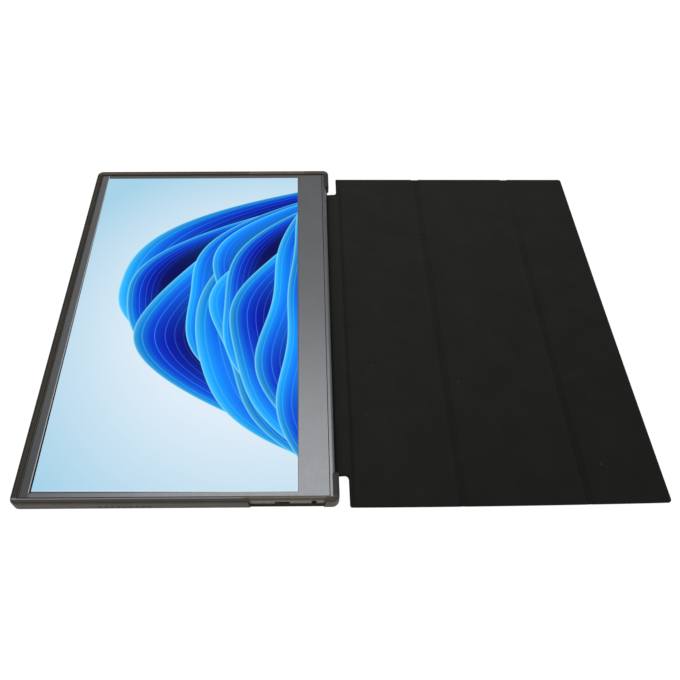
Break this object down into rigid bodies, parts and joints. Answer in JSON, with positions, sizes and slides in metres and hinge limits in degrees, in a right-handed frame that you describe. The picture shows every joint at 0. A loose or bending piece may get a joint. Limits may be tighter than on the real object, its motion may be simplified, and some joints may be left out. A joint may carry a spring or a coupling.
{
  "type": "portable monitor",
  "caption": "Slim portable monitor with a bright edge strip, held in a clip-on tray whose hinged cover folds along soft grooves and closes over the screen.",
  "frame": {"origin": "middle of the monitor's back, on the surface it rests on", "axes": "+X across the hinge towards the open cover, +Y along the hinge, +Z out of the screen"},
  "size_m": [0.4781, 0.363, 0.0095],
  "materials": {
    "leather": "smooth synthetic leather",
    "tray": "satin dark brown-grey moulded plastic",
    "housing": "satin bronze-grey anodised",
    "trim": "satin grey anodised",
    "bezel": "satin grey",
    "screen": "lit display",
    "film": "white film",
    "clear": "clear acrylic",
    "dark_plastic": "matt",
    "steel": "plain sheet",
    "led": "matt",
    "pcb": "solder mask",
    "flex": "polyimide",
    "chip": "matt",
    "screw": "plain",
    "ribbon": "matt",
    "lead": "matt",
    "magnet": "plated",
    "switch": "matt",
    "key": "satin",
    "lining": "brushed microfibre",
    "card": "fibre board"
  },
  "bodies": {
    "monitor": {"back_skin": "leather", "tray_shell": "tray", "rear_housing": "housing", "edge_trim": "trim", "front_bezel": "bezel", "lcd_cell": "screen", "optical_films": "film", "light_guide": "clear", "mid_frame": "dark_plastic", "panel_chassis": "steel", "led_bar": "led", "panel_board": "pcb", "panel_flex": "flex", "main_board": "pcb", "board_chips": "chip", "usb_board": "pcb", "board_screws": "screw", "board_link_cable": "ribbon", "display_cable": "ribbon", "usb_c_ports": "steel", "mini_hdmi_port": "steel", "port_inserts": "dark_plastic", "audio_jack": "dark_plastic", "speakers": "dark_plastic", "speaker_leads": "lead", "housing_magnets": "magnet", "key_carrier": "dark_plastic", "tact_switches": "switch"},
    "spine": {"spine_skin": "leather", "spine_lining": "lining"},
    "panel_1": {"panel_1_skin": "leather", "panel_1_board": "card", "panel_1_lining": "lining"},
    "panel_2": {"panel_2_skin": "leather", "panel_2_board": "card", "panel_2_lining": "lining"},
    "panel_3": {"panel_3_skin": "leather", "panel_3_board": "card", "panel_3_lining": "lining", "cover_magnets": "magnet"},
    "power_key": {"power_key": "key"},
    "menu_rocker": {"menu_rocker": "key"}
  },
  "joints": [
    {"name": "spine_fold", "type": "hinge", "parent": "monitor", "child": "spine", "pos_m": [0.1189, -0.0025, -0.00015], "axis": [0, -1, 0], "range_deg": [-180, 72]},
    {"name": "panel_1_fold", "type": "hinge", "parent": "spine", "child": "panel_1", "pos_m": [0.12945, -0.0025, 0.0016], "axis": [0, -1, 0], "range_deg": [0, 108]},
    {"name": "panel_2_fold", "type": "hinge", "parent": "panel_1", "child": "panel_2", "pos_m": [0.2084, -0.0025, 0.0011], "axis": [0, 1, 0], "range_deg": [-130, 130]},
    {"name": "panel_3_fold", "type": "hinge", "parent": "panel_2", "child": "panel_3", "pos_m": [0.3007, -0.0025, 0.0011], "axis": [0, 1, 0], "range_deg": [-130, 130]},
    {"name": "power_press", "type": "slide", "parent": "monitor", "child": "power_key", "axis": [0, -1, 0], "range_m": [0, 0.0003], "stiffness_N_per_m": 300},
    {"name": "menu_rock", "type": "hinge", "parent": "monitor", "child": "menu_rocker", "pos_m": [0.0755, 0.1769, 0.0042], "axis": [0, 0, 1], "range_deg": [-3, 3], "stiffness_Nm_per_rad": 0.05}
  ]
}
